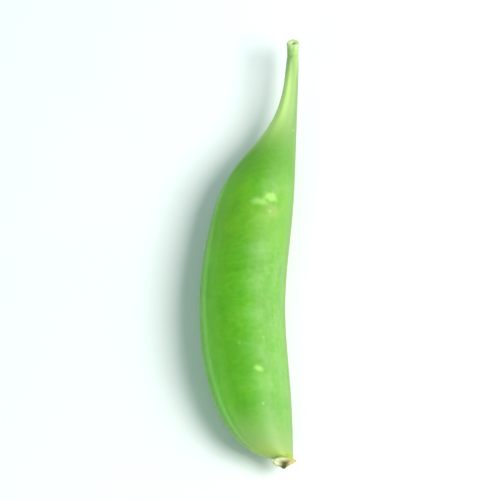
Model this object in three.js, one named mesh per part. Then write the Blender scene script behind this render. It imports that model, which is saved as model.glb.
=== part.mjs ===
// A sugar snap pea pod, lying on its side on a flat surface, as picked.
//
// Units are millimetres. +Z is up, +Y runs along the pod from the beak, where the dried style sits, to the
// neck, where the stem broke off. +X is the side of the ventral suture, the straighter edge that the peas
// hang from. -X is the side of the dorsal suture, the rounder edge. The origin is on the surface that the pod
// rests on, under the middle of its bounding box.
//
// The pod is one fruit that grew in one piece: a plump body that is a lens in section, two raised sutures, a
// row of soft swellings over the peas, and a neck like a thin stalk. The broken stem end and the dried style
// are other organs of the plant, so each is a solid of its own, a hair away from the pod.
import * as THREE from "three";
import { mergeVertices } from "three/addons/utils/BufferGeometryUtils.js";

// Driving dimensions
const POD_LENGTH = 73.8; // beak end to neck end
const POD_WIDTH = 14.1; // between the feet of the two sutures, at the widest
const POD_THICKNESS = 9.8; // side to side, at the thickest
const NECK_WIDTH = 1.9;
const NECK_THICKNESS = 1.9;
const STUB_LENGTH = 2.5;
const STUB_RISE = 1.1; // it turns up, so that its broken face looks half upwards
const STUB_RADIUS = 1; // where it grows on the neck
const STUB_RIM_RADIUS = 1.18; // of the broken face
const PITH_DEPTH = 0.6;
const STYLE_LENGTH = 1.4;
const STYLE_WIDTH = 4.2; // where it grows on the beak
const STYLE_THICKNESS = 1.8;
const STYLE_OFFSET = -0.45; // it grows nearer the dorsal side of the beak
const GAP = 0.3; // between two solids that touch on the real pod

// How the outline runs along the pod. Shares of the length are counted from the beak.
const TAIL_SHARE = 0.29; // the rounded beak end
const TAIL_ROUNDNESS = 2.2; // over 1 joins it smoothly to the body
const TAIL_BLUNTNESS = 0.4; // under 1 gives the edges a blunt end
const SIDE_TAIL_BLUNTNESS = 0.62; // the sides come to a finer end
const SHOULDER_AT = 0.764; // where the edges close in on the neck
const SHOULDER_SOFTNESS = 0.052;
const SIDE_SHOULDER_AT = 0.72; // where the sides close in on the neck
const SIDE_SHOULDER_SOFTNESS = 0.055;
const SLIMMING = 0.065; // share of the width lost between the belly and the shoulder
const SLIMS_FROM = 0.35;
const SLIMS_TO = 0.75;
const BELLY_AT = 0.38; // where the ventral edge is most hollow
const BELLY_SPREAD = 0.21;
const BELLY_HOLLOW = 1.5;
const WHOLE_HOLLOW = 0.5;

// How the pod leaves its own mid plane
const NECK_LIFT = 1.3;
const NECK_LIFT_FROM = 0.55; // share of the length where the lift starts
const BEAK_DROP = 0.7;
const BEAK_DROP_FROM = 0.3;
const TWIST = THREE.MathUtils.degToRad(8); // from beak to neck
const LEAN = THREE.MathUtils.degToRad(-8); // it settles with its dorsal suture a little higher

// Section: over 1 gives an edge that comes to a point, and 1 would be an ellipse.
const EDGE_SHARPNESS = 1.28;
const VENTRAL_RIB = 0.45; // how far a suture stands out of the edge
const DORSAL_RIB = 0.3;
const RIB_SPREAD = 0.2; // radians of the section

// Peas
const PEA_COUNT = 7;
const FIRST_PEA_AT = 0.14; // near edge of the first pea's place
const LAST_PEA_AT = 0.71; // far edge of the last pea's place
const PEA_SWELL = 0.3;
const SWELL_FOCUS = 3; // a higher power keeps the swelling nearer the middle of the side

// The body's own weight flattens its lowest swellings by this much.
const FLATTENED = 0.3;

// The style hooks to the ventral side and a little up as it dries.
const STYLE_HOOK = 0.2;
const STYLE_LIFT = 0.25;
const STYLE_TAPER = 0.45; // share of its section lost at the tip

const POD_FACETS = { along: 64, around: 32 };
const STYLE_FACETS = { along: 10, around: 14 };
const STUB_FACETS = { along: 12, around: 20 };

const FINISHES = {
  pod: { color: 0x62b12f, roughness: 0.45, metalness: 0 },
  stem: { color: 0xc8dc94, roughness: 0.7, metalness: 0 },
  style: { color: 0x8a6a3c, roughness: 0.9, metalness: 0 },
};

const bell = (x, centre, spread) => Math.exp(-(((x - centre) / spread) ** 2));
const fall = (x, centre, softness) => 1 / (1 + Math.exp((x - centre) / softness));

// Rounded closing of the beak end: 0 at the beak and 1 where the tail ends.
function tail(share, bluntness) {
  const left = Math.max(0, 1 - share / TAIL_SHARE);
  return (1 - left ** TAIL_ROUNDNESS) ** bluntness;
}

function podWidth(share) {
  const slim = 1 - SLIMMING * THREE.MathUtils.smoothstep(share, SLIMS_FROM, SLIMS_TO);
  const body = tail(share, TAIL_BLUNTNESS) * slim * fall(share, SHOULDER_AT, SHOULDER_SOFTNESS);
  return NECK_WIDTH + (POD_WIDTH - NECK_WIDTH) * body;
}

function podThickness(share) {
  const body = tail(share, SIDE_TAIL_BLUNTNESS) * fall(share, SIDE_SHOULDER_AT, SIDE_SHOULDER_SOFTNESS);
  return NECK_THICKNESS + (POD_THICKNESS - NECK_THICKNESS) * body;
}

// The ventral edge runs straight between its ends but for a hollow along the belly.
function ventralEdge(share) {
  return -BELLY_HOLLOW * bell(share, BELLY_AT, BELLY_SPREAD) - WHOLE_HOLLOW * Math.sin(Math.PI * share);
}

// Height of the pod's middle over its own mid plane.
function lift(share) {
  const rise = THREE.MathUtils.smoothstep(share, NECK_LIFT_FROM, 1);
  const drop = THREE.MathUtils.smoothstep(BEAK_DROP_FROM - share, 0, BEAK_DROP_FROM);
  return NECK_LIFT * rise - BEAK_DROP * drop;
}

// 0 between two peas and 1 over a pea.
function peaSwell(share) {
  const place = (share - FIRST_PEA_AT) / (LAST_PEA_AT - FIRST_PEA_AT);
  if (place <= 0 || place >= 1) return 0;
  return 0.5 - 0.5 * Math.cos(2 * Math.PI * place * PEA_COUNT);
}

// A point of the pod's skin. Angle 0 is the ventral suture and pi the dorsal one. Reach is 1 on the skin and 0
// on the axis, and it only differs from 1 on the flat ends.
function podPoint(share, angle, reach) {
  const halfWidth = podWidth(share) / 2;
  const thickness = podThickness(share);
  const axisX = ventralEdge(share) - halfWidth;
  const fullness = thickness / POD_THICKNESS;
  const edgeRib =
    VENTRAL_RIB * bell(angle, 0, RIB_SPREAD) +
    VENTRAL_RIB * bell(angle, 2 * Math.PI, RIB_SPREAD) +
    DORSAL_RIB * bell(angle, Math.PI, RIB_SPREAD);
  const across = Math.cos(angle);
  const up = Math.sin(angle);
  const swell = PEA_SWELL * peaSwell(share) * Math.abs(up) ** SWELL_FOCUS;
  const x = reach * across * (halfWidth + edgeRib * fullness);
  const z = reach * Math.sign(up) * ((thickness / 2) * Math.abs(up) ** EDGE_SHARPNESS + swell);
  const turn = LEAN + TWIST * (share - BELLY_AT);
  return new THREE.Vector3(
    axisX + x * Math.cos(turn) - z * Math.sin(turn),
    (share - 0.5) * POD_LENGTH,
    lift(share) + x * Math.sin(turn) + z * Math.cos(turn),
  );
}

// Bends a closed cylinder into a body: place(share, angle, reach) says where each of its points goes.
function bentCylinder(facets, place) {
  const geometry = new THREE.CylinderGeometry(1, 1, 1, facets.around, facets.along);
  const points = geometry.attributes.position;
  for (let i = 0; i < points.count; i += 1) {
    const x = points.getX(i);
    const z = points.getZ(i);
    const share = 0.5 + points.getY(i);
    const angle = (Math.atan2(z, x) + 2 * Math.PI) % (2 * Math.PI);
    points.setXYZ(i, ...place(share, angle, Math.hypot(x, z)).toArray());
  }
  geometry.deleteAttribute("normal");
  geometry.deleteAttribute("uv");
  const welded = mergeVertices(geometry);
  welded.computeVertexNormals();
  return welded;
}

function podGeometry() {
  const geometry = bentCylinder(POD_FACETS, podPoint);
  geometry.computeBoundingBox();
  const restHeight = geometry.boundingBox.min.z + FLATTENED;
  const points = geometry.attributes.position;
  for (let i = 0; i < points.count; i += 1) {
    points.setZ(i, Math.max(points.getZ(i), restHeight));
  }
  return geometry;
}

// The broken stem end: a short flared stump that turns up, with its broken face dished round the pith.
function stemStubGeometry() {
  const spine = new THREE.QuadraticBezierCurve3(
    new THREE.Vector3(0, 0, 0),
    new THREE.Vector3(0, STUB_LENGTH * 0.6, 0),
    new THREE.Vector3(0, STUB_LENGTH * 0.85, STUB_RISE),
  );
  return bentCylinder(STUB_FACETS, (share, angle, reach) => {
    const flare = THREE.MathUtils.smoothstep(share, 0.3, 0.9);
    const radius = reach * THREE.MathUtils.lerp(STUB_RADIUS, STUB_RIM_RADIUS, flare);
    const ahead = spine.getTangent(share);
    const upward = new THREE.Vector3(0, -ahead.z, ahead.y);
    const dish = share === 1 ? PITH_DEPTH * (1 - reach) : 0;
    return spine
      .getPoint(share)
      .add(new THREE.Vector3(radius * Math.cos(angle), 0, 0))
      .addScaledVector(upward, radius * Math.sin(angle))
      .addScaledVector(ahead, -dish);
  });
}

// The dried style: a short flattened wisp that tapers away from the beak.
function styleGeometry() {
  const hook = new THREE.QuadraticBezierCurve3(
    new THREE.Vector3(0, 0, 0),
    new THREE.Vector3(0, -STYLE_LENGTH * 0.6, 0),
    new THREE.Vector3(STYLE_HOOK, -STYLE_LENGTH, STYLE_LIFT),
  );
  return bentCylinder(STYLE_FACETS, (share, angle, reach) => {
    const along = 1 - share;
    const taper = 1 - STYLE_TAPER * along;
    const across = (reach * Math.cos(angle) * STYLE_WIDTH * taper) / 2;
    const up = (reach * Math.sin(angle) * STYLE_THICKNESS * taper) / 2;
    return hook.getPoint(along).add(new THREE.Vector3(across, 0, up));
  });
}

function piece(name, geometry, finish) {
  const mesh = new THREE.Mesh(geometry, new THREE.MeshStandardMaterial(finish));
  mesh.name = name;
  return mesh;
}

const pod = piece("pod", podGeometry(), FINISHES.pod);

const neckEnd = podPoint(1, 0, 0);
const stemStub = piece("stem_stub", stemStubGeometry(), FINISHES.stem);
stemStub.position.set(neckEnd.x, neckEnd.y + GAP, neckEnd.z);

const beakEnd = podPoint(0, 0, 0);
const driedStyle = piece("dried_style", styleGeometry(), FINISHES.style);
driedStyle.position.set(beakEnd.x + STYLE_OFFSET, beakEnd.y - GAP, beakEnd.z);

const peaPod = new THREE.Group();
peaPod.add(pod, stemStub, driedStyle);

const box = new THREE.Box3().setFromObject(peaPod, true);
const middle = box.getCenter(new THREE.Vector3());
peaPod.position.set(-middle.x, -middle.y, -box.min.z);

export default peaPod;
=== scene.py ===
# %% [markdown]
# # A sugar snap pea pod
#
# A sugar snap pod is one fruit that grew in one piece: two fleshy sides, joined along two sutures. The peas
# hang from the ventral suture, which is the straighter edge. The dorsal suture is the rounder one. At one end
# the pod tapers into a pale neck, where the stalk broke off. At the other end it closes in a blunt beak, with
# what is left of the flower's dried style.
#
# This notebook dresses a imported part. The part's three solids fix every size and place, so the skin, the
# stalk end and the style are each grown where the solid lies, and each then stands in for its solid.

import math

import bpy
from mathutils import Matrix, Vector
from mathutils.bvhtree import BVHTree


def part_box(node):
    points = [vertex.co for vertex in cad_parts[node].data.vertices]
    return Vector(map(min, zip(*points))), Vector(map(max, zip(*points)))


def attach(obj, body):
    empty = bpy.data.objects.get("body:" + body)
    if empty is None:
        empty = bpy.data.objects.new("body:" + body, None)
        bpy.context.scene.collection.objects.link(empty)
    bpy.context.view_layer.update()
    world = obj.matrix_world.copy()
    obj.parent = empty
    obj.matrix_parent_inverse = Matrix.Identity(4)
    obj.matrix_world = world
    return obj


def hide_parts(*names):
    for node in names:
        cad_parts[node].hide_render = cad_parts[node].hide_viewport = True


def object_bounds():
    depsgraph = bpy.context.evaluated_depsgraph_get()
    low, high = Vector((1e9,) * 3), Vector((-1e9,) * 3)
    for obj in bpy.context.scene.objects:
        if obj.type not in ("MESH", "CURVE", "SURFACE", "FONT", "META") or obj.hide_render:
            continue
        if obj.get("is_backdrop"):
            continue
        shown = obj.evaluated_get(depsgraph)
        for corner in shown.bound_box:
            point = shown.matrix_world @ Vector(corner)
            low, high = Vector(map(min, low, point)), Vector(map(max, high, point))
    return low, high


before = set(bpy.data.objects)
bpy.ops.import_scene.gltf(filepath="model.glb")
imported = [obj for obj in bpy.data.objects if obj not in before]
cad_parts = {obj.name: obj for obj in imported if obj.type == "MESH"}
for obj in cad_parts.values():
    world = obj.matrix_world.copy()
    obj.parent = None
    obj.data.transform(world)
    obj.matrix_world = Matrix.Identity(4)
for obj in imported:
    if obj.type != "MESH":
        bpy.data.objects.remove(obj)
cad_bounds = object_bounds()
MM = 0.001

pod_low, pod_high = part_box("pod")
POD_LENGTH = pod_high.y - pod_low.y
print("nodes:", sorted(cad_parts))
print(f"the pod is {POD_LENGTH / MM:.1f} mm long from beak to neck")

# %% [markdown]
# ## Arithmetic that builds nodes
#
# Both the shapes and the colours of a pod follow rules, such as "the width falls away at the shoulder". A
# rule could be drawn as dozens of Math nodes, each linked by hand. It reads better as a line of arithmetic,
# so one small class wraps a socket, and each operator on it adds the Math node for that step. The same
# functions also take plain numbers, so one rule can shape the skin and say where the stalk begins.


# %% A number on its way through a node tree
def connect(socket, value):
    """Feeds a socket from a wire, another socket or a plain value."""
    value = value.socket if isinstance(value, Wire) else value
    if isinstance(value, bpy.types.NodeSocket):
        socket.id_data.links.new(value, socket)
    else:
        socket.default_value = value


def maths(operation, *values):
    tree = next(value.socket.id_data for value in values if isinstance(value, Wire))
    node = tree.nodes.new("ShaderNodeMath")
    node.operation = operation
    for socket, value in zip(node.inputs, values):
        connect(socket, value)
    return Wire(node.outputs[0])


class Wire:
    """Arithmetic on a wire adds Math nodes to its tree."""

    def __init__(self, socket):
        self.socket = socket

    def __add__(self, other):
        return maths("ADD", self, other)

    def __sub__(self, other):
        return maths("SUBTRACT", self, other)

    def __rsub__(self, other):
        return maths("SUBTRACT", other, self)

    def __mul__(self, other):
        return maths("MULTIPLY", self, other)

    def __truediv__(self, other):
        return maths("DIVIDE", self, other)

    def __rtruediv__(self, other):
        return maths("DIVIDE", other, self)

    def __pow__(self, power):
        return maths("POWER", self, power)

    def __neg__(self):
        return maths("MULTIPLY", self, -1.0)

    __radd__ = __add__
    __rmul__ = __mul__


def either(operation, plain):
    """A function that adds a Math node for a wire and works a plain number out at once."""

    def function(*values):
        if any(isinstance(value, Wire) for value in values):
            return maths(operation, *values)
        return plain(*values)

    return function


size_of = either("ABSOLUTE", abs)
sign_of = either("SIGN", lambda x: float((x > 0) - (x < 0)))
exp = either("EXPONENT", math.exp)
sine = either("SINE", math.sin)
cosine = either("COSINE", math.cos)
larger = either("MAXIMUM", max)
smaller = either("MINIMUM", min)
whole = either("FLOOR", math.floor)
root = either("SQRT", math.sqrt)


# %% Rules that several pieces share
def bell(x, centre, spread):
    """1 at the centre, falling to nothing on both sides."""
    off = (x - centre) / spread
    return exp(-(off * off))


def fall(x, centre, softness):
    """From 1 before the centre to 0 after it."""
    return 1.0 / (1.0 + exp((x - centre) / softness))


def ramp(x, start, end):
    """From 0 at the start to 1 at the end, with soft ends."""
    along = larger(0.0, smaller(1.0, (x - start) / (end - start)))
    return along * along * (3.0 - 2.0 * along)


def between(first, second, share):
    return first + (second - first) * share


# %% One way to add any other node
class Nodes:
    """A node tree, with one method that adds a node, sets it and then feeds its sockets."""

    def __init__(self, tree):
        self.tree = tree

    def add(self, kind, settings=None, sockets=None):
        node = self.tree.nodes.new(kind)
        for name, value in (settings or {}).items():
            setattr(node, name, value)
        for key, value in (sockets or {}).items():
            connect(self.find(node.inputs, key), value)
        return node

    def out(self, kind, settings=None, sockets=None, output=0):
        """The same, giving one output as a wire."""
        node = self.add(kind, settings, sockets)
        if isinstance(output, int):
            return Wire(node.outputs[output])
        return Wire(self.find(node.outputs, output))

    @staticmethod
    def find(sockets, key):
        """A socket by its name. A Mix node repeats a name for each kind of value: only one is live."""
        if isinstance(key, int):
            return sockets[key]
        return next(socket for socket in sockets if socket.name == key and socket.enabled)

    def noise(self, where, scale, detail=2.0, roughness=0.5):
        """Soft noise from -1 to 1."""
        sockets = {"Vector": where, "Scale": scale, "Detail": detail, "Roughness": roughness}
        return self.out("ShaderNodeTexNoise", {}, sockets) * 2.0 - 1.0

    def vector(self, x, y, z):
        return self.out("ShaderNodeCombineXYZ", {}, {"X": x, "Y": y, "Z": z})

    def split(self, vector):
        node = self.add("ShaderNodeSeparateXYZ", {}, {0: vector})
        return [Wire(output) for output in node.outputs]


# %% [markdown]
# ## Trees that grow a piece
#
# Each piece of the pod is a tube that is closed at both ends and bent to a rule, so Geometry Nodes suit it.
# A Mesh Cylinder gives a closed surface whose points know three things: how far along they are, at what
# angle they sit, and how far out they reach. A rule turns those into a place, and Set Position moves them
# there. The sizes come in through named inputs. Sculpting could give one pod, but a rule gives any pod of
# its kind.


# %% A tube whose rule says where each point goes
def grow(name, sizes, material, rule):
    """Makes a mesh object from a closed tube and a rule on its share of the length, angle and reach.

    rule(nodes, inputs, share, angle, reach) gives x, y and z, and the fields to keep for the materials.
    """
    tree = bpy.data.node_groups.new(name, "GeometryNodeTree")
    tree.interface.new_socket("Geometry", in_out="OUTPUT", socket_type="NodeSocketGeometry")
    identifiers = {}
    for title, value in {**sizes, "Finish": material}.items():
        kind = {int: "NodeSocketInt", float: "NodeSocketFloat"}.get(type(value), "NodeSocketMaterial")
        identifiers[title] = tree.interface.new_socket(title, in_out="INPUT", socket_type=kind).identifier

    nodes = Nodes(tree)
    group = nodes.add("NodeGroupInput")
    inputs = {title: Wire(group.outputs[title]) for title in identifiers}
    tube_sockets = {
        "Vertices": inputs["Sides"],
        "Side Segments": inputs["Rings"],
        "Fill Segments": inputs["Cap Rings"],
        "Radius": 1.0,
        "Depth": 1.0,
    }
    tube = nodes.out("GeometryNodeMeshCylinder", {"fill_type": "TRIANGLE_FAN"}, tube_sockets, "Mesh")
    x, y, z = nodes.split(nodes.out("GeometryNodeInputPosition"))
    place, fields = rule(nodes, inputs, z + 0.5, maths("ARCTAN2", y, x), root(x * x + y * y))

    geometry = tube
    for title, field in fields.items():
        settings = {"data_type": "FLOAT", "domain": "POINT"}
        sockets = {"Geometry": geometry, "Name": title, "Value": field}
        geometry = nodes.out("GeometryNodeStoreNamedAttribute", settings, sockets)
    geometry = nodes.out(
        "GeometryNodeSetPosition", {}, {"Geometry": geometry, "Position": nodes.vector(*place)}
    )
    geometry = nodes.out("GeometryNodeSetShadeSmooth", {}, {"Geometry": geometry, "Shade Smooth": True})
    geometry = nodes.out("GeometryNodeRealizeInstances", {}, {"Geometry": geometry})
    geometry = nodes.out(
        "GeometryNodeSetMaterial", {}, {"Geometry": geometry, "Material": inputs["Finish"]}
    )
    result = nodes.add("NodeGroupOutput")
    connect(result.inputs["Geometry"], geometry)

    piece = bpy.data.objects.new(name, bpy.data.meshes.new(name))
    bpy.context.collection.objects.link(piece)
    modifier = piece.modifiers.new(name, "NODES")
    modifier.node_group = tree
    for title, value in {**sizes, "Finish": material}.items():
        modifier[identifiers[title]] = value
    return harden(piece)


def harden(piece):
    """Turns what the modifier grows into the object's own plain mesh."""
    view = bpy.context.evaluated_depsgraph_get()
    grown = bpy.data.meshes.new_from_object(
        piece.evaluated_get(view), preserve_all_data_layers=True, depsgraph=view
    )
    piece.modifiers.clear()
    piece.data = grown
    grown.name = piece.name
    print(f"{piece.name}: {len(grown.vertices)} points, {len(grown.polygons)} faces")
    return piece


# %% [markdown]
# ## The outline of the pod
#
# A share of the length, counted from the beak, says where along the pod a rule looks. The width and the
# thickness both rise quickly out of the blunt beak, hold through the body and fall away at the shoulder
# into the neck. The ventral edge is nearly straight, so the width grows away from it: that gives the pod
# its curved back. These are the rules that the part's own solid follows, so the skin lies on it.

# %% The driving sizes
POD_WIDTH = 14.1 * MM  # between the feet of the two sutures, at the widest
POD_THICKNESS = 9.8 * MM  # side to side, at the thickest
NECK_WIDTH = 1.9 * MM
NECK_THICKNESS = 1.9 * MM
VENTRAL_RIB = 0.45 * MM  # how far a suture stands out of the edge
DORSAL_RIB = 0.3 * MM
PEA_SWELL = 0.3 * MM
PEA_COUNT = 7

# %% How the outline runs along the pod
TAIL_SHARE = 0.29
TAIL_ROUNDNESS = 2.2
TAIL_BLUNTNESS = 0.4
SIDE_TAIL_BLUNTNESS = 0.62
SHOULDER_AT = 0.764
SHOULDER_SOFTNESS = 0.052
SIDE_SHOULDER_AT = 0.72
SIDE_SHOULDER_SOFTNESS = 0.055
SLIMMING = 0.065
SLIMS_FROM = 0.35
SLIMS_TO = 0.75
BELLY_AT = 0.38
BELLY_SPREAD = 0.21
BELLY_HOLLOW = 1.5 * MM
WHOLE_HOLLOW = 0.5 * MM
NECK_LIFT = 1.3 * MM
NECK_LIFT_FROM = 0.55
BEAK_DROP = 0.7 * MM
BEAK_DROP_FROM = 0.3
TWIST = math.radians(8)
LEAN = math.radians(-8)
FIRST_PEA_AT = 0.14
LAST_PEA_AT = 0.71


def tail(share, bluntness):
    left = larger(0.0, 1.0 - share / TAIL_SHARE)
    return (1.0 - left**TAIL_ROUNDNESS) ** bluntness


def body_width(share):
    slim = 1.0 - SLIMMING * ramp(share, SLIMS_FROM, SLIMS_TO)
    return tail(share, TAIL_BLUNTNESS) * slim * fall(share, SHOULDER_AT, SHOULDER_SOFTNESS)


def body_thickness(share):
    return tail(share, SIDE_TAIL_BLUNTNESS) * fall(share, SIDE_SHOULDER_AT, SIDE_SHOULDER_SOFTNESS)


def ventral_edge(share):
    return -BELLY_HOLLOW * bell(share, BELLY_AT, BELLY_SPREAD) - WHOLE_HOLLOW * sine(math.pi * share)


def lift(share):
    rise = ramp(share, NECK_LIFT_FROM, 1.0)
    drop = 1.0 - ramp(share, 0.0, BEAK_DROP_FROM)
    return NECK_LIFT * rise - BEAK_DROP * drop


def pod_axis(share):
    """The middle of the section, before the pod is set down where the part lies."""
    width = between(NECK_WIDTH, POD_WIDTH, body_width(share))
    return ventral_edge(share) - width / 2, (share - 0.5) * POD_LENGTH, lift(share)


# %% Where the part's own solid puts the ends
def end_of_pod(y):
    """The middle of the solid's flat end at this y."""
    points = [point.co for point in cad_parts["pod"].data.vertices if abs(point.co.y - y) < 0.01 * MM]
    return sum(points, Vector()) / len(points)


neck_end = end_of_pod(pod_high.y)
beak_end = end_of_pod(pod_low.y)
pod_set_down = neck_end - Vector(pod_axis(1.0))
print("neck end in mm:", [round(value / MM, 2) for value in neck_end])
print("beak end in mm:", [round(value / MM, 2) for value in beak_end])

# %% [markdown]
# ## Veins and other marks of growth
#
# A fresh pod is never smooth. A net of fine veins crosses each side from suture to suture, the peas push the
# walls out by different amounts, and the flesh between is a little uneven. The veins are both a shape and a
# colour, so one rule makes them, and the skin's mesh and its material both call it. It works in millimetres
# measured over the skin: along the pod, and round it from the ventral suture.

# %% The vein net
VEIN_SPACING_ALONG = 1.7
VEIN_SPACING_AROUND = 5.2
VEIN_SLANT = 0.35  # how far a vein leans to the beak as it crosses
VEIN_WIDTH = 0.13
SWAY_SCALE = 0.22  # bends per mm
SWAY_ALONG = 1.6  # how far the veins wander, in mm
SWAY_AROUND = 2.0
HALF_GIRTH = 20.0  # mm from suture to suture over the skin


def vein_net(nodes, along_mm, around_mm):
    """1 on a vein and 0 between veins."""
    where = nodes.vector(along_mm, around_mm, 0.0)
    sway = nodes.noise(where, SWAY_SCALE, 2.0)
    across = nodes.vector(
        (along_mm + around_mm * VEIN_SLANT + sway * SWAY_ALONG) / VEIN_SPACING_ALONG,
        (around_mm + sway * SWAY_AROUND) / VEIN_SPACING_AROUND,
        0.0,
    )
    settings = {"feature": "DISTANCE_TO_EDGE", "voronoi_dimensions": "2D"}
    sockets = {"Vector": across, "Scale": 1.0, "Randomness": 0.85}
    edge = nodes.out("ShaderNodeTexVoronoi", settings, sockets, "Distance")
    return 1.0 - ramp(edge, 0.0, VEIN_WIDTH)


# %% [markdown]
# ## The skin of the pod
#
# In section the pod is a lens that comes to a blunt point at each suture. The ventral suture is a double rib
# with a furrow between, because it is where the two sides meet and will split. The dorsal suture is a single
# low ridge. The points are crowded towards the sutures and the two ends, where the shape turns quickest, and
# are spread out over the broad sides, which need fewer.

# %% The skin's rule
VENTRAL_SHARPNESS = 1.28  # over 1 brings the edge to a point, and 1 is round
DORSAL_SHARPNESS = 1.04
DORSAL_SUTURE_AT = math.pi - 0.34  # the pod lies so that this suture is a little above its outline
RIB_SPREAD = 0.2  # radians, as are the other spreads
DORSAL_RIB_SPREAD = 0.4
FURROW_SPREAD = 0.055
FURROW_DEPTH = 0.55  # share of the rib's height
RIB_ON_NECK = 0.1  # share of a rib's height that is left on the neck
DORSAL_SPREAD = 0.075
DORSAL_LINE_PULL = 0.8  # how far the dorsal line also stands outwards, as a share of its height
LEAST_PEA, MOST_PEA = 0.55, 1.25  # how far the weakest and the strongest pea push, as shares
UNEVENNESS_SCALE = 0.16  # bumps per mm
NECK_RIDGE = 0.05 * MM
NECK_RIDGES = 6.0  # from the ventral suture round to the dorsal one and back
RIDGES_RISE = (0.74, 0.9)  # shares of the length
RIDGES_FADE = (1.0, 0.97)
CROWDING_AROUND = 0.55
CROWDING_ALONG = 0.6
SWELL_FOCUS = 3.0


def pod_rule(nodes, inputs, share, angle, reach):
    share = share - sine(share * math.tau) * (CROWDING_ALONG / math.tau)
    angle = angle - sine(angle * 2.0) * (CROWDING_AROUND / 2.0)
    from_ventral = size_of(angle)
    past_dorsal = angle - DORSAL_SUTURE_AT
    from_dorsal = smaller(size_of(past_dorsal), size_of(past_dorsal + math.tau))
    across = cosine(angle)
    up = sine(angle)
    side = size_of(up)

    width = between(inputs["Neck Width"], inputs["Width"], body_width(share))
    fullness = body_thickness(share)
    thickness = between(inputs["Neck Thickness"], inputs["Thickness"], fullness)

    pea_place = (share - FIRST_PEA_AT) / (LAST_PEA_AT - FIRST_PEA_AT) * inputs["Peas"]
    pea = whole(pea_place)
    vigour = nodes.out(
        "FunctionNodeRandomValue",
        {"data_type": "FLOAT"},
        {"Min": LEAST_PEA, "Max": MOST_PEA, "ID": pea, "Seed": inputs["Seed"]},
        "Value",
    )
    present = maths("COMPARE", pea, (inputs["Peas"] - 1.0) * 0.5, inputs["Peas"] * 0.5)
    swell = present * vigour * (0.5 - 0.5 * cosine(pea_place * math.tau))
    swell = inputs["Pea Swell"] * swell * side**SWELL_FOCUS

    along_mm = share * (POD_LENGTH / MM)
    around_mm = from_ventral * (HALF_GIRTH / math.pi)
    veins = vein_net(nodes, along_mm, around_mm)
    here = nodes.vector(across * width * 0.5 / MM, along_mm, up * thickness * 0.5 / MM)
    uneven = nodes.noise(here, UNEVENNESS_SCALE, 2.0) * inputs["Unevenness"]
    relief = (veins * inputs["Vein Relief"] + uneven) * side * fullness

    ventral_rib = bell(from_ventral, 0.0, RIB_SPREAD) - FURROW_DEPTH * bell(from_ventral, 0.0, FURROW_SPREAD)
    dorsal_rib = bell(from_ventral, math.pi, DORSAL_RIB_SPREAD)
    rib = inputs["Ventral Rib"] * ventral_rib + inputs["Dorsal Rib"] * dorsal_rib
    line = inputs["Dorsal Line"] * bell(from_dorsal, 0.0, DORSAL_SPREAD) * fullness
    ridges_here = ramp(share, *RIDGES_RISE) * ramp(share, *RIDGES_FADE)
    neck_ridges = cosine(from_ventral * NECK_RIDGES) * ridges_here * NECK_RIDGE

    half_x = width * 0.5 + rib * between(RIB_ON_NECK, 1.0, fullness) + neck_ridges
    sharpness = between(DORSAL_SHARPNESS, VENTRAL_SHARPNESS, across * 0.5 + 0.5)
    half_z = thickness * 0.5 * side**sharpness + swell + relief + neck_ridges * side + line
    x = reach * (across * half_x - line * DORSAL_LINE_PULL)
    z = reach * sign_of(up) * half_z
    turn = LEAN + TWIST * (share - BELLY_AT)
    place = (
        ventral_edge(share) - width * 0.5 + x * cosine(turn) - z * sine(turn) + pod_set_down.x,
        (share - 0.5) * POD_LENGTH + pod_set_down.y,
        larger(0.0, lift(share) + x * sine(turn) + z * cosine(turn) + pod_set_down.z),
    )
    fields = {"along": share, "from_ventral": from_ventral, "from_dorsal": from_dorsal, "up": up}
    return place, fields


# %% [markdown]
# ## Paint for a living surface
#
# A waxy leaf or pod has three layers that a material can copy: flesh that light enters and leaves again, a
# green that differs from place to place, and a thin dull wax on top. The flesh is subsurface scattering,
# the green is a mix of masks on the base colour, and the wax is a soft coat. The masks come from how far
# along the pod a point is and how far round from the ventral suture, which the skin's tree stored.
# Some masks paint light and shade instead of colour: a sheen on the ventral half, a lighter dorsal edge, a
# lit side and a shaded side on the neck, and shade along the ventral suture.


# %% Colours by their screen values
def colour(red, green, blue):
    """A colour given as screen values, 0 to 255, turned into light."""

    def light(value):
        value = value / 255
        return value / 12.92 if value <= 0.04045 else ((value + 0.055) / 1.055) ** 2.4

    return light(red), light(green), light(blue), 1.0


def blend(nodes, first, second, share):
    """Mixes two colours. A Math node would turn them grey."""
    settings = {"data_type": "RGBA", "blend_type": "MIX", "clamp_factor": True}
    return nodes.out("ShaderNodeMix", settings, {"Factor": share, "A": first, "B": second}, "Result")


def stored(nodes, name):
    return nodes.out("ShaderNodeAttribute", {"attribute_name": name}, {}, "Fac")


def new_material(name, constants):
    """A material with its Principled shader set up, and its tree to paint in."""
    material = bpy.data.materials.new(name)
    material.use_nodes = True
    nodes = Nodes(material.node_tree)
    shader = material.node_tree.nodes["Principled BSDF"]
    for title, value in constants.items():
        shader.inputs[title].default_value = value
    return material, nodes, shader


# %% The green skin
COAT_ROUGHNESS = 0.5
COAT_WEIGHT = 0.28
SKIN_ROUGHNESS = 0.52
SKIN_GREEN = colour(78, 162, 2)
SKIN_BRIGHT = colour(102, 184, 14)
SKIN_BLUE_GREEN = colour(100, 162, 44)
SKIN_YELLOW = colour(122, 180, 32)
VEIN_GREEN = colour(142, 204, 84)
# Grey-green of the ventral suture, darkened as painted shade
SUTURE_GREEN_AND_SHADE = colour(136, 160, 98)
DORSAL_GREEN = colour(150, 210, 116)
# Pale wax bloom, which also serves as a painted sheen on the ventral half
BLOOM_AND_SHEEN_GREEN = colour(166, 192, 128)
# Painted light on the dorsal edge, which the lamps leave darker
DORSAL_EDGE_LIGHT = colour(130, 212, 72)
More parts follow.
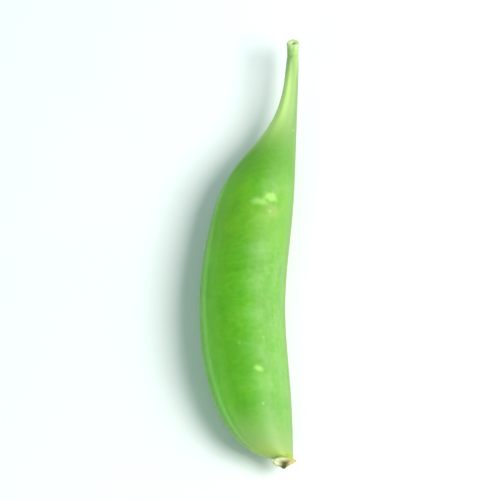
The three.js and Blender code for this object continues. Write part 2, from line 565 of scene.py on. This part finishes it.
# The neck's own pale green, painted lighter on its dorsal side and darker on its ventral side, as painted
# light and shade
NECK_LIT_PALE = colour(210, 242, 146)
NECK_SHADED_GREEN = colour(137, 170, 103)
BEAK_GREEN = colour(154, 181, 108)
TIP_OLIVE = colour(166, 190, 84)
STALK_GREEN = colour(166, 200, 118)
SCUFF_GREEN = colour(178, 226, 116)
RUB_GREEN = colour(158, 186, 88)
PORE_GREEN = colour(62, 128, 30)

# %% Where the greens and the marks lie
# Along the pod, shares of its length from the beak. Round it, radians from the ventral suture.
BEAK_PAINT = (0.0, 0.12)
TIP_PAINT = (0.0, 0.035)
RIPEST_AT, RIPEST_SPREAD = 0.57, 0.09
SHOULDER_PAINT = (0.63, 0.75)
NECK_PAINT = (0.72, 0.88)
STALK_PAINT = (0.92, 1.0)
# The ventral half, which gets the bloom and the painted sheen
BLOOM_AND_SHEEN_SPAN = (1.75, 1.15)
# Where the dorsal edge is painted lighter
DORSAL_EDGE_LIGHT_SPAN = (2.1, 2.6)
# From the painted shade on the ventral side of the neck to the painted light on its dorsal side
NECK_SHADE_TO_LIGHT = (0.5, 2.2)
SUTURE_AND_SHADE_SPREAD = 0.36
SUTURE_FADE = (0.99, 0.85)
SIDE_EDGES = (0.2, 0.8)
UPPER_SIDE = (0.0, 0.1)

# A mark's place and its half size, both as mm along and mm round from the ventral suture.
SCUFF = ((46.1, 7.6), (1.3, 1.6))
GRAZE = ((45.0, 9.2), (1.1, 2.1))
RUB = ((43.6, 6.9), (1.7, 1.7))
NICK = ((14.2, 9.0), (0.8, 1.0))
RAG_SCALE = 0.9  # notches per mm in a mark's edge
PALE_FLECKS = (4.0 * MM, 0.4 * MM)  # spacing and size
DARK_FLECKS = (2.6 * MM, 0.26 * MM)

# Noise, as detail per metre: patches are some 7 mm across and pores under 0.2 mm.
PATCH_SCALE, MOTTLE_SCALE, PORE_SCALE = 140.0, 1100.0, 5200.0
STREAKS = (0.3, 0.8)  # detail per mm along and round
BLOTCHES = (0.16, 0.24)


def ragged_spot(nodes, along_mm, around_mm, place, size):
    """1 inside a ragged oval, by its place and half size in millimetres over the skin."""
    off_along = (along_mm - place[0]) / size[0]
    off_around = (around_mm - place[1]) / size[1]
    rag = nodes.noise(nodes.vector(along_mm, around_mm, 0.0), RAG_SCALE, 3.0)
    return 1.0 - ramp(root(off_along * off_along + off_around * off_around) + rag * 0.5, 0.15, 1.1)


def flecks(nodes, where, spacing, size, offset):
    """Round flecks in some of the cells of a Voronoi pattern, as sizes in metres."""
    step = (offset, offset, offset)
    moved = nodes.out("ShaderNodeVectorMath", {"operation": "ADD"}, {0: where, 1: step})
    cells = nodes.add("ShaderNodeTexVoronoi", {}, {"Vector": moved, "Scale": 1.0 / spacing})
    chance = nodes.split(Wire(cells.outputs["Color"]))[0]
    near = 1.0 - ramp(Wire(cells.outputs["Distance"]), size / spacing * 0.4, size / spacing)
    return near * ramp(chance, 0.5, 0.7)


def make_skin():
    constants = {
        "Subsurface Weight": 0.2,
        "Subsurface Radius": (0.9 * MM, 1.6 * MM, 0.4 * MM),
        "Subsurface Scale": 1.0,
        "IOR": 1.42,
        "Coat Roughness": COAT_ROUGHNESS,
        "Coat IOR": 1.45,
    }
    material, nodes, shader = new_material("pod_skin", constants)
    where = nodes.out("ShaderNodeTexCoord", {}, {}, "Object")
    along = stored(nodes, "along")
    from_ventral = stored(nodes, "from_ventral")
    from_dorsal = stored(nodes, "from_dorsal")
    up = stored(nodes, "up")
    side = size_of(up)
    along_mm = along * (POD_LENGTH / MM)
    around_mm = from_ventral * (HALF_GIRTH / math.pi)

    patches = nodes.noise(where, PATCH_SCALE, 3.0)
    mottle = nodes.noise(where, MOTTLE_SCALE, 3.0)
    streak_place = nodes.vector(along_mm * STREAKS[0], around_mm * STREAKS[1], up * 2.0)
    streaks = nodes.noise(streak_place, 1.0, 3.0)
    blotch_place = nodes.vector(along_mm * BLOTCHES[0], around_mm * BLOTCHES[1], up * 1.5)
    blotches = nodes.noise(blotch_place, 1.0, 4.0, 0.6)
    veins = vein_net(nodes, along_mm, around_mm)

    # The flesh. Its ventral half is painted paler: partly its wax bloom, partly a painted sheen. Its dorsal
    # edge is painted lighter, as painted light.
    green = blend(nodes, SKIN_GREEN, SKIN_BRIGHT, 0.45 + patches * 0.7 + mottle * 0.5)
    bloom_and_sheen = ramp(from_ventral + patches * 0.25, *BLOOM_AND_SHEEN_SPAN) * (0.32 + streaks * 0.34 + mottle * 0.16)
    green = blend(nodes, green, BLOOM_AND_SHEEN_GREEN, bloom_and_sheen)
    # Painted light: the dorsal edge is painted a lighter green, standing in for light on that side.
    green = blend(nodes, green, DORSAL_EDGE_LIGHT, ramp(from_ventral, *DORSAL_EDGE_LIGHT_SPAN) * (0.6 + streaks * 0.3))
    ripe = bell(along, RIPEST_AT, RIPEST_SPREAD) * 0.5 + blotches * 0.9
    green = blend(nodes, green, SKIN_YELLOW, larger(0.0, ripe))
    green = blend(nodes, green, SKIN_BLUE_GREEN, larger(0.0, -blotches))
    green = blend(nodes, green, SKIN_BLUE_GREEN, ramp(along + blotches * 0.03, *SHOULDER_PAINT) * 0.85)
    green = blend(nodes, green, VEIN_GREEN, veins * 0.1 * side)

    # The two ends.
    green = blend(nodes, green, BEAK_GREEN, (1.0 - ramp(along, *BEAK_PAINT)) * 0.8)
    green = blend(nodes, green, TIP_OLIVE, (1.0 - ramp(along + mottle * 0.006, *TIP_PAINT)) * 0.8)
    edges = 1.0 - ramp(side, *SIDE_EDGES)
    # The neck has its own pale green. Its dorsal side is painted lighter and its ventral side darker, as
    # painted light and shade.
    neck_lit_and_shaded = blend(nodes, NECK_SHADED_GREEN, NECK_LIT_PALE, ramp(from_ventral, *NECK_SHADE_TO_LIGHT))
    green = blend(nodes, green, neck_lit_and_shaded, ramp(along + edges * 0.04 + patches * 0.02, *NECK_PAINT))
    green = blend(nodes, green, STALK_GREEN, ramp(along, *STALK_PAINT))

    # The two sutures. The ventral one is painted a darker olive: partly its own grey-green, partly painted
    # shade of its furrow.
    suture_and_shade = bell(from_ventral, 0.0, SUTURE_AND_SHADE_SPREAD) * ramp(along, *SUTURE_FADE)
    green = blend(nodes, green, SUTURE_GREEN_AND_SHADE, suture_and_shade * 0.8)
    line = bell(from_dorsal, 0.0, DORSAL_SPREAD) * (0.6 + patches * 0.3)
    green = blend(nodes, green, DORSAL_GREEN, line)

    # Marks of handling on the upper side, and flecks all over.
    upper = ramp(up, *UPPER_SIDE)
    scuff, graze, rub, nick = (
        ragged_spot(nodes, along_mm, around_mm, *mark) for mark in (SCUFF, GRAZE, RUB, NICK)
    )
    pale_flecks = flecks(nodes, where, *PALE_FLECKS, 0.0)
    dark_flecks = flecks(nodes, where, *DARK_FLECKS, 0.3)
    green = blend(nodes, green, RUB_GREEN, rub * upper * 0.7)
    marks = larger(scuff * 0.85, graze * 0.65) + nick * 0.75
    green = blend(nodes, green, SCUFF_GREEN, marks * upper + pale_flecks * 0.35)
    green = blend(nodes, green, PORE_GREEN, dark_flecks * 0.4)

    connect(shader.inputs["Base Color"], green)
    roughness = SKIN_ROUGHNESS + patches * 0.1 + mottle * 0.04 + scuff * upper * 0.12
    connect(shader.inputs["Roughness"], roughness)
    connect(shader.inputs["Coat Weight"], COAT_WEIGHT + patches * 0.2)
    pores = nodes.noise(where, PORE_SCALE, 2.0)
    bump_sockets = {"Strength": 0.35, "Distance": 0.03 * MM, "Height": mottle * 0.6 + pores * 0.4}
    bump = nodes.out("ShaderNodeBump", {}, bump_sockets)
    connect(shader.inputs["Normal"], bump)
    return material


# %% Grow the skin
pod_sizes = {
    "Rings": 560,
    "Sides": 160,
    "Cap Rings": 4,
    "Width": POD_WIDTH,
    "Thickness": POD_THICKNESS,
    "Neck Width": NECK_WIDTH,
    "Neck Thickness": NECK_THICKNESS,
    "Ventral Rib": VENTRAL_RIB,
    "Dorsal Rib": DORSAL_RIB,
    "Dorsal Line": 0.16 * MM,
    "Pea Swell": PEA_SWELL,
    "Peas": PEA_COUNT,
    "Vein Relief": 0.022 * MM,
    "Unevenness": 0.09 * MM,
    "Seed": 4,
}
pod_skin = grow("pod_skin", pod_sizes, make_skin(), pod_rule)

# %% Check it against the solid
solid = BVHTree.FromObject(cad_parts["pod"], bpy.context.evaluated_depsgraph_get())
off = [solid.find_nearest(point.co)[3] for point in pod_skin.data.vertices]
print(f"the skin lies within {max(off) / MM:.2f} mm of the solid")
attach(pod_skin, "root")
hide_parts("pod")

# %% [markdown]
# ## The broken end of the stalk
#
# The pod's neck runs into a short stump of stalk, which turns up a little. Where it snapped, the rim is
# ragged and pale, and the middle is dished round the soft pith. It is a tube again, this time along a bent
# spine: a curve with one control point, whose formula gives both the place and the direction ahead.

# %% The stalk's rule
STUB_GAP = 0.3 * MM  # between the neck and the part's stalk solid
STUB_LENGTH = 2.5 * MM
STUB_RISE = 1.1 * MM
STUB_ROOT = 0.99 * MM
STUB_RIM = 1.1 * MM
STUB_TUCK = 0.14  # how much thinner it starts, so that it comes out of the neck without a step
FIBRE_RELIEF = 0.035  # shares of the radius
STUB_UNEVENNESS = 0.06
RAG_DEPTH = 0.12 * MM
WIDE_DISH_DEPTH = 0.12 * MM
STUB_OVERLAP_SHARE = 0.22  # how much of its length runs back into the neck, so that no gap shows


def stub_rule(nodes, inputs, share, angle, reach):
    bend = between(-STUB_OVERLAP_SHARE, 1.0, share)
    spine_y = STUB_LENGTH * bend * (1.2 - 0.35 * bend)
    spine_z = STUB_RISE * bend * bend
    ahead_y = STUB_LENGTH * (1.2 - 0.7 * bend)
    ahead_z = STUB_RISE * bend * 2.0
    speed = root(ahead_y * ahead_y + ahead_z * ahead_z)
    ahead_y, ahead_z = ahead_y / speed, ahead_z / speed

    cap = ramp(share, 0.975, 1.0)
    fibres = cosine(angle * 9.0 + share * 2.0) * 0.5 + cosine(angle * 5.0 + 1.3) * 0.5
    uneven = nodes.noise(nodes.vector(cosine(angle), sine(angle), share * 1.5), 1.6, 3.0)
    radius = between(inputs["Root"], inputs["Rim"], ramp(share, 0.4, 0.92))
    radius = radius * between(1.0 - STUB_TUCK, 1.0, ramp(share, 0.0, 0.2))
    relief = fibres * FIBRE_RELIEF + uneven * STUB_UNEVENNESS
    radius = radius * (1.0 + relief * ramp(share, 0.1, 0.5))
    radius = reach * radius * (1.0 - ramp(share, 0.9, 1.0) * 0.1)
    rag = nodes.noise(nodes.vector(cosine(angle) * reach, sine(angle) * reach, 4.0), 3.4, 3.0)
    dish = bell(reach, 0.0, 0.26) * inputs["Pith Depth"] + bell(reach, 0.0, 0.8) * WIDE_DISH_DEPTH
    end = cap * (rag * RAG_DEPTH - dish)

    out_z = radius * sine(angle)
    place = (
        neck_end.x + radius * cosine(angle),
        neck_end.y + STUB_GAP + spine_y + ahead_y * end - ahead_z * out_z,
        neck_end.z + spine_z + ahead_z * end + ahead_y * out_z,
    )
    fields = {"along": share, "reach": reach, "cap": cap, "fibre": fibres}
    return place, fields


# %% Pale stalk and tan pith
STALK_PALE = colour(206, 228, 162)
PITH_TAN = colour(150, 138, 84)


def make_stalk():
    constants = {
        "Subsurface Weight": 0.2,
        "Subsurface Radius": (1.0 * MM, 1.4 * MM, 0.6 * MM),
        "Subsurface Scale": 1.0,
    }
    material, nodes, shader = new_material("broken_stem", constants)
    where = nodes.out("ShaderNodeTexCoord", {}, {}, "Object")
    along = stored(nodes, "along")
    reach = stored(nodes, "reach")
    cap = stored(nodes, "cap")
    fibre = stored(nodes, "fibre")
    mottle = nodes.noise(where, 2600.0, 3.0)
    paleness = ramp(along, 0.3, 1.0) * 0.7 + fibre * 0.25 + mottle * 0.2
    skin = blend(nodes, STALK_GREEN, STALK_PALE, paleness)
    face = blend(nodes, STALK_PALE, PITH_TAN, bell(reach, 0.0, 0.3) + mottle * 0.12)
    connect(shader.inputs["Base Color"], blend(nodes, skin, face, cap))
    connect(shader.inputs["Roughness"], 0.62 + mottle * 0.1)
    bump = nodes.out("ShaderNodeBump", {}, {"Strength": 0.5, "Distance": 0.04 * MM, "Height": mottle})
    connect(shader.inputs["Normal"], bump)
    return material


# %% Grow the stalk end
stub_sizes = {
    "Rings": 60,
    "Sides": 96,
    "Cap Rings": 24,
    "Root": STUB_ROOT,
    "Rim": STUB_RIM,
    "Pith Depth": 0.5 * MM,
}
stem_stub = grow("broken_stem_end", stub_sizes, make_stalk(), stub_rule)
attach(stem_stub, "root")
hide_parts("stem_stub")

# %% [markdown]
# ## The dried style
#
# The style was the flower's neck. It withers to a short papery wisp on the beak: a brown shrivelled core,
# with a cream flap on one side of it and a tan one on the other. It is one more tube, flattened, whose
# middle reaches further than its sides and whose rim is crumpled.

# %% The style's rule
style_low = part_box("dried_style")[0]
STYLE_WIDTH = 4.1 * MM
STYLE_OFFSET = -0.45 * MM  # it grows nearer the dorsal side of the beak
STYLE_THICKNESS = 1.8 * MM
STYLE_OVERLAP = 0.5 * MM
STYLE_ROOT = 0.74  # share of its girth where it grows out of the beak
STYLE_TAPER = 0.22
CORE_AT = 0.1  # across the style, from -1 to 1
CORE_SPREAD = 0.42
CRUMPLE = 0.4  # share of the radius
RIM_CRUMPLE = 0.5 * MM
SIDES_SHORTER = 0.3  # than the core, as a share of the length
STYLE_THINNING = 0.45  # share of its thickness lost at the tip


def style_rule(nodes, inputs, share, angle, reach):
    along = 1.0 - share
    length = beak_end.y + STYLE_OVERLAP - style_low.y
    across = cosine(angle) * reach
    crumple = nodes.noise(nodes.vector(cosine(angle), sine(angle), along * 1.5), 2.4, 3.0)
    rim = nodes.noise(nodes.vector(across, sine(angle) * reach, 7.0), 3.1, 3.0)
    core = bell(across, CORE_AT, CORE_SPREAD)
    loose = ramp(along, 0.25, 0.7)
    girth = between(STYLE_ROOT, 1.0, ramp(along, 0.15, 0.5))
    girth = girth * (1.0 - STYLE_TAPER * ramp(along, 0.55, 1.0))
    radius = reach * girth * (1.0 + crumple * CRUMPLE * loose)
    depth = reach * (1.0 - STYLE_THINNING * ramp(along, 0.2, 1.0)) * (1.0 + crumple * 0.3 * loose)
    shorter = loose * (SIDES_SHORTER * (1.0 - core) + 0.08 * across)
    reach_down = along * length * (1.0 - shorter) - rim * RIM_CRUMPLE * ramp(along, 0.7, 1.0)
    middle_x = beak_end.x + STYLE_OFFSET - along * inputs["Hook"]
    place = (
        middle_x + radius * cosine(angle) * inputs["Width"] * 0.5,
        larger(style_low.y, beak_end.y + STYLE_OVERLAP - reach_down),
        beak_end.z + depth * sine(angle) * inputs["Thickness"] * 0.5,
    )
    fields = {"along": along, "across": across, "core": core, "crumple": crumple}
    return place, fields


# %% Cream, tan and brown paper
STYLE_CREAM = colour(242, 242, 196)
STYLE_TAN = colour(208, 192, 130)
STYLE_BROWN = colour(96, 92, 40)


def make_style():
    material, nodes, shader = new_material("dried_style", {"Specular IOR Level": 0.3})
    where = nodes.out("ShaderNodeTexCoord", {}, {}, "Object")
    along = stored(nodes, "along")
    across = stored(nodes, "across")
    core = stored(nodes, "core")
    crumple = stored(nodes, "crumple")
    mottle = nodes.noise(where, 3600.0, 3.0)
    paper = blend(nodes, STYLE_CREAM, STYLE_TAN, ramp(across, -0.2, 0.35) + mottle * 0.2)
    paper = blend(nodes, TIP_OLIVE, paper, ramp(along + mottle * 0.05, 0.25, 0.45))
    withered = core * ramp(along, 0.35, 0.75) * 1.1 + mottle * 0.15 - crumple * 0.25
    connect(shader.inputs["Base Color"], blend(nodes, paper, STYLE_BROWN, withered))
    connect(shader.inputs["Roughness"], 0.8 + mottle * 0.08)
    bump = nodes.out("ShaderNodeBump", {}, {"Strength": 0.6, "Distance": 0.05 * MM, "Height": mottle})
    connect(shader.inputs["Normal"], bump)
    return material


# %% Grow the style
style_sizes = {
    "Rings": 70,
    "Sides": 96,
    "Cap Rings": 16,
    "Width": STYLE_WIDTH,
    "Thickness": STYLE_THICKNESS,
    "Hook": 0.15 * MM,
}
dried_style = grow("dried_style_wisp", style_sizes, make_style(), style_rule)
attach(dried_style, "root")
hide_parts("dried_style")

# %% [markdown]
# ## The table, the light and the camera
#
# The pod lies on a plain white table. One large softbox stands to its right and a little behind, so that
# its reflection spreads a satin sheen over the ventral half and the pod's shadow falls softly to the left.
# A pale, slightly blue surround fills the shadow. The camera looks down steeply from the beak's end.

# %% The table
TABLE_HALF = 1.5
TABLE_WHITE = colour(246, 248, 249)
TABLE_BRIGHT = colour(250, 251, 252)


def make_table():
    material, nodes, shader = new_material("white_table", {"Roughness": 0.9, "IOR": 1.2})
    where = nodes.out("ShaderNodeTexCoord", {}, {}, "Object")
    grain = nodes.noise(where, 30.0, 2.0)
    connect(shader.inputs["Base Color"], blend(nodes, TABLE_WHITE, TABLE_BRIGHT, grain))
    return material


corners = [(x * TABLE_HALF, y * TABLE_HALF, 0) for x, y in ((-1, -1), (1, -1), (1, 1), (-1, 1))]
table_mesh = bpy.data.meshes.new("table")
table_mesh.from_pydata(corners, [], [(0, 1, 2, 3)])
table_mesh.materials.append(make_table())
table = bpy.data.objects.new("table", table_mesh)
bpy.context.collection.objects.link(table)
table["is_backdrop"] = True

# %% The light
middle = Vector((0.0, 0.0, (pod_low.z + pod_high.z) / 2))


def softbox(name, direction, distance, size, watts, tint):
    light = bpy.data.lights.new(name, "AREA")
    light.shape = "RECTANGLE"
    light.size, light.size_y = size
    light.energy = watts
    light.color = tint
    lamp = bpy.data.objects.new(name, light)
    lamp.location = middle + Vector(direction).normalized() * distance
    lamp.rotation_euler = (middle - lamp.location).to_track_quat("-Z", "Y").to_euler()
    bpy.context.collection.objects.link(lamp)
    return lamp


KEY_FROM = (1.00, -0.28, 1.20)
KEY_WATTS = 5.1
SHEEN_FROM = (0.9, 0.5, 0.3)
SHEEN_WATTS = 0.9
FILL_WATTS = 1.3
SURROUND_STRENGTH = 0.4
softbox("key_softbox", KEY_FROM, 0.7, (0.4, 0.4), KEY_WATTS, (1.0, 0.99, 0.96))
softbox("sheen_panel", SHEEN_FROM, 0.6, (0.9, 0.4), SHEEN_WATTS, (1.0, 1.0, 1.0))
softbox("left_fill", (-0.5, -0.6, 0.65), 0.9, (0.6, 0.6), FILL_WATTS, (0.93, 0.97, 1.0))

world = bpy.data.worlds.new("pale surround")
world.use_nodes = True
surround = world.node_tree.nodes["Background"]
surround.inputs["Color"].default_value = colour(206, 240, 236)
surround.inputs["Strength"].default_value = SURROUND_STRENGTH
bpy.context.scene.world = world
bpy.context.scene.view_settings.view_transform = "Standard"

# %% The camera
CAMERA_ELEVATION = math.radians(66)
CAMERA_DISTANCE = 0.9
CAMERA_LENS = 380.0
CAMERA_ROLL = math.radians(1)

camera_data = bpy.data.cameras.new("camera")
camera_data.lens = CAMERA_LENS
camera = bpy.data.objects.new("camera", camera_data)
toward_camera = Vector((0.0, -math.cos(CAMERA_ELEVATION), math.sin(CAMERA_ELEVATION)))
camera.location = middle + toward_camera * CAMERA_DISTANCE
camera.rotation_euler = (middle - camera.location).to_track_quat("-Z", "Y").to_euler()
camera.rotation_euler.rotate_axis("Z", CAMERA_ROLL)
bpy.context.collection.objects.link(camera)
bpy.context.scene.camera = camera

# %% Print the sizes of the part and the scene
boxes = {"cad": cad_bounds, "visual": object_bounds()}
boxes = {name: [[float(value) for value in corner] for corner in box] for name, box in boxes.items()}
for name, box in boxes.items():
    print(name, "box in mm:", [[round(value / MM, 2) for value in corner] for corner in box])
